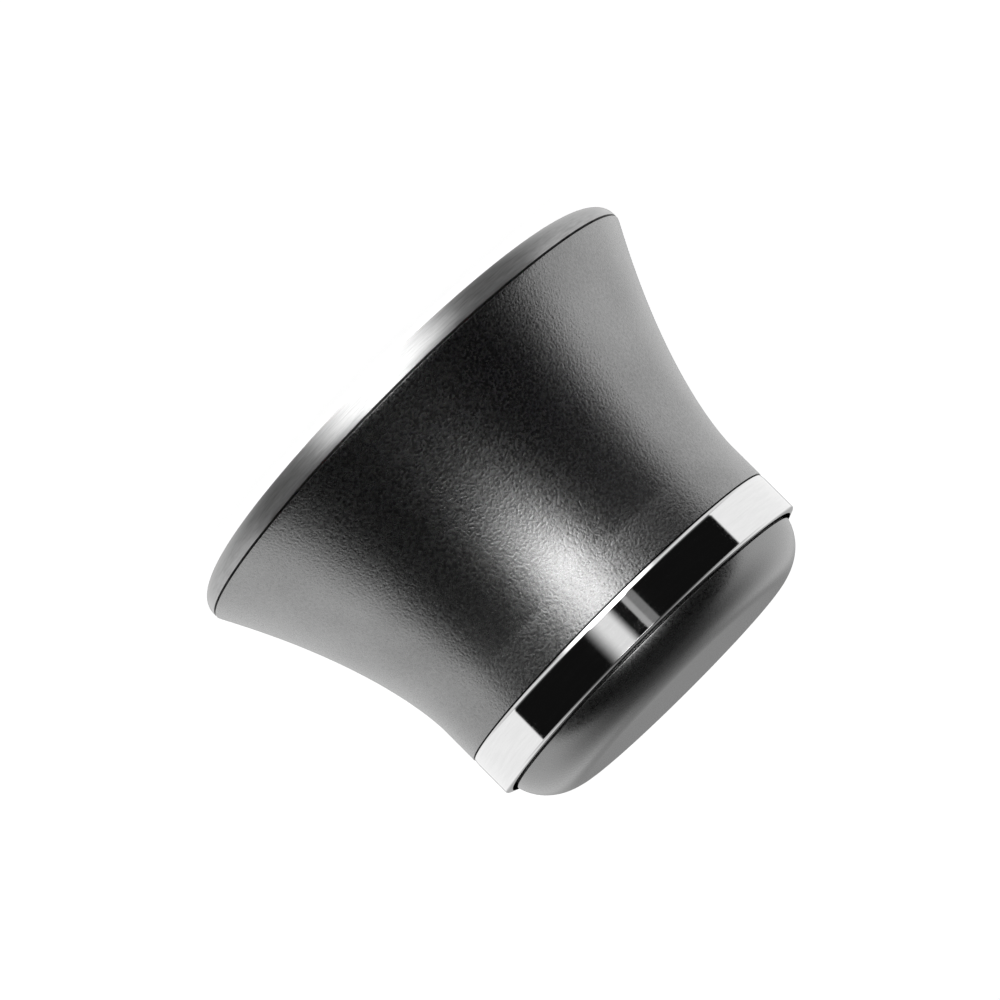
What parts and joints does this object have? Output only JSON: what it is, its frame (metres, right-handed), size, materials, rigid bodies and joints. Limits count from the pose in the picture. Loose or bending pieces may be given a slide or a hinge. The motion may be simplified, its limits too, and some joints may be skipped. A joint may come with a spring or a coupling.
{
  "type": "push-and-turn control knob",
  "caption": "Flared round control knob with a fixed brushed wall disc, a satin black grip that turns, a polished trim ring and a sprung push button in its nose.",
  "frame": {"origin": "centre of the wall disc's flat underside, where the knob's axis meets the wall", "axes": "+Z along the knob's axis, from the wall towards the push button; +X towards the stop pin"},
  "size_m": [0.05, 0.05, 0.036],
  "materials": {
    "satin_black": "bead blasted and black anodised, satin with a fine sparkle",
    "brushed_steel": "brushed in circles",
    "polished_chrome": "mirror polished",
    "brass": "turned",
    "plated_steel": "zinc plated",
    "rubber": "matte",
    "acetal": "moulded, natural white"
  },
  "bodies": {
    "base": {"base_disc": "brushed_steel", "base_gasket": "rubber", "glide_ring": "acetal", "spindle_bush": "brass", "stop_pin": "plated_steel", "bush_screw_1": "plated_steel", "bush_screw_2": "plated_steel", "bush_screw_3": "plated_steel"},
    "grip": {"grip_shell": "satin_black", "trim_ring": "polished_chrome", "drive_spindle": "brass", "spindle_nut": "plated_steel", "spindle_washer": "plated_steel", "thrust_washer": "acetal", "spindle_circlip": "plated_steel", "spindle_o_ring": "rubber", "button_guide": "acetal", "guide_screw_1": "plated_steel", "guide_screw_2": "plated_steel", "guide_screw_3": "plated_steel"},
    "button": {"button_cap": "satin_black", "push_rod": "plated_steel", "rod_clip": "plated_steel", "return_spring": "plated_steel"}
  },
  "joints": [
    {"name": "grip_turn", "type": "hinge", "parent": "base", "child": "grip", "pos_m": [0, 0, 0], "axis": [0, 0, 1], "range_deg": [0, 270]},
    {"name": "button_push", "type": "slide", "parent": "grip", "child": "button", "axis": [0, 0, -1], "range_m": [0, 0.0022], "stiffness_N_per_m": 900, "springref_m": -0.0045, "deforming": ["return_spring"]}
  ]
}
